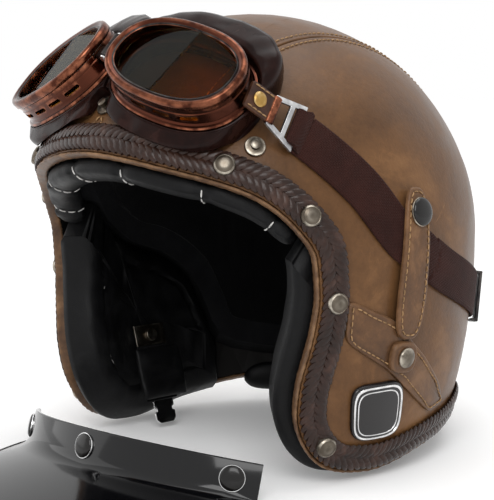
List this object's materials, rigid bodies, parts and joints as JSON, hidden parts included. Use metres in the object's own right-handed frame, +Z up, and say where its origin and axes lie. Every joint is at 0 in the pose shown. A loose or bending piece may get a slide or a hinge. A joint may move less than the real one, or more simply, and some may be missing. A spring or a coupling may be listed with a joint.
{
  "type": "motorcycle helmet",
  "caption": "Open-face motorcycle helmet covered in leather with a plaited rim, aviator goggles strapped over the brow and a detached sun peak.",
  "frame": {"origin": "on the resting plane, under the middle of the head form", "axes": "-Y is the front, +X the wearer's left, +Z up"},
  "size_m": [0.2584, 0.3316, 0.2511],
  "materials": {
    "cover_leather": "mottled tan-brown leather, satin",
    "binding_leather": "tan rolled leather",
    "braid_leather": "dark brown plaited leather",
    "tab_leather": "tan stitched leather",
    "cushion_leather": "dark brown glazed vinyl",
    "strap_elastic": "woven maroon-brown elastic",
    "webbing": "black woven webbing",
    "pad_cloth": "black quilted cloth",
    "shell_plastic": "moulded shell",
    "liner_foam": "black expanded foam",
    "peak_plastic": "gloss black moulded plastic",
    "black_metal": "black lacquered steel",
    "antique_nickel": "antique nickel, domed caps",
    "hook_steel": "bare cast alloy",
    "cup_copper": "antique copper plate",
    "rivet_brass": "antique brass",
    "lens_smoke": "olive smoke pane",
    "lens_amber": "amber pane",
    "buckle_plastic": "black nylon buckle",
    "lever_red": "red nylon lever",
    "badge_enamel": "black enamel with a silver border"
  },
  "bodies": {
    "helmet": {"outer_shell": "shell_plastic", "impact_liner": "liner_foam", "comfort_liner": "pad_cloth", "brow_roll": "pad_cloth", "cheek_pad_left": "pad_cloth", "cheek_pad_right": "pad_cloth", "neck_roll": "pad_cloth", "edge_binding": "binding_leather", "braid_trim": "braid_leather", "braid_rivets": "antique_nickel", "leather_crown": "cover_leather", "leather_left": "cover_leather", "leather_right": "cover_leather", "side_band_left": "cover_leather", "side_band_right": "cover_leather", "visor_studs": "antique_nickel", "badge": "badge_enamel", "tab_base_left": "tab_leather", "tab_base_right": "tab_leather", "tab_rivets": "antique_nickel", "strap_rear": "strap_elastic", "chin_anchors": "antique_nickel"},
    "strap": {"strap_front_left": "strap_elastic", "strap_front_right": "strap_elastic"},
    "goggles": {"goggle_cup_left": "cup_copper", "goggle_cup_right": "cup_copper", "bezel_left": "cup_copper", "bezel_right": "cup_copper", "lens_inner_left": "lens_smoke", "lens_outer_left": "lens_amber", "lens_inner_right": "lens_smoke", "lens_outer_right": "lens_amber", "goggle_cushion_left": "cushion_leather", "goggle_cushion_right": "cushion_leather", "bridge_left": "black_metal", "bridge_right": "black_metal", "bridge_pin": "black_metal", "side_tab_left": "braid_leather", "side_tab_right": "braid_leather", "side_rivet_left": "rivet_brass", "side_rivet_right": "rivet_brass", "strap_hook_left": "hook_steel", "strap_hook_right": "hook_steel"},
    "slider": {"strap_slider": "black_metal"},
    "tab_left": {"retaining_tab_left": "tab_leather", "tab_snap_left": "black_metal"},
    "tab_right": {"retaining_tab_right": "tab_leather", "tab_snap_right": "black_metal"},
    "chin_left": {"chin_strap_left": "webbing", "buckle_receiver": "buckle_plastic"},
    "lever": {"buckle_lever": "lever_red"},
    "chin_right": {"chin_strap_right": "webbing", "buckle_tongue": "antique_nickel", "chin_pad": "pad_cloth"},
    "peak": {"sun_peak": "peak_plastic", "peak_snaps": "black_metal"}
  },
  "joints": [
    {"name": "goggles_swing", "type": "hinge", "parent": "helmet", "child": "strap", "pos_m": [0, 0.00496, 0.12095], "axis": [-1, 0, 0], "range_deg": [0, 20]},
    {"name": "goggles_pull", "type": "slide", "parent": "strap", "child": "goggles", "axis": [0, -0.7071, 0.7071], "range_m": [0, 0.03]},
    {"name": "slider_slide", "type": "slide", "parent": "helmet", "child": "slider", "axis": [-0.6694, 0.7176, -0.1919], "range_m": [0, 0.008]},
    {"name": "tab_left_open", "type": "hinge", "parent": "helmet", "child": "tab_left", "pos_m": [0.12348, -0.00956, 0.07667], "axis": [0.0485, 0.9933, -0.1044], "range_deg": [0, 95]},
    {"name": "tab_right_open", "type": "hinge", "parent": "helmet", "child": "tab_right", "pos_m": [-0.12348, -0.00956, 0.07667], "axis": [0.0485, -0.9933, 0.1044], "range_deg": [0, 95]},
    {"name": "chin_left_swing", "type": "hinge", "parent": "helmet", "child": "chin_left", "pos_m": [0.07475, -0.014, 0.05], "axis": [0, 1, 0], "range_deg": [0, 45]},
    {"name": "lever_open", "type": "hinge", "parent": "chin_left", "child": "lever", "pos_m": [0.0595, -0.014, 0.02117], "axis": [0, 1, 0], "range_deg": [0, 35], "stiffness_Nm_per_rad": 0.02, "springref_deg": -17.19},
    {"name": "chin_right_swing", "type": "hinge", "parent": "helmet", "child": "chin_right", "pos_m": [-0.07475, -0.014, 0.05], "axis": [0, -1, 0], "range_deg": [0, 45]},
    {"name": "peak_lift_off", "type": "slide", "parent": "helmet", "child": "peak", "axis": [0, -1, 0], "range_m": [0, 0.08]}
  ]
}
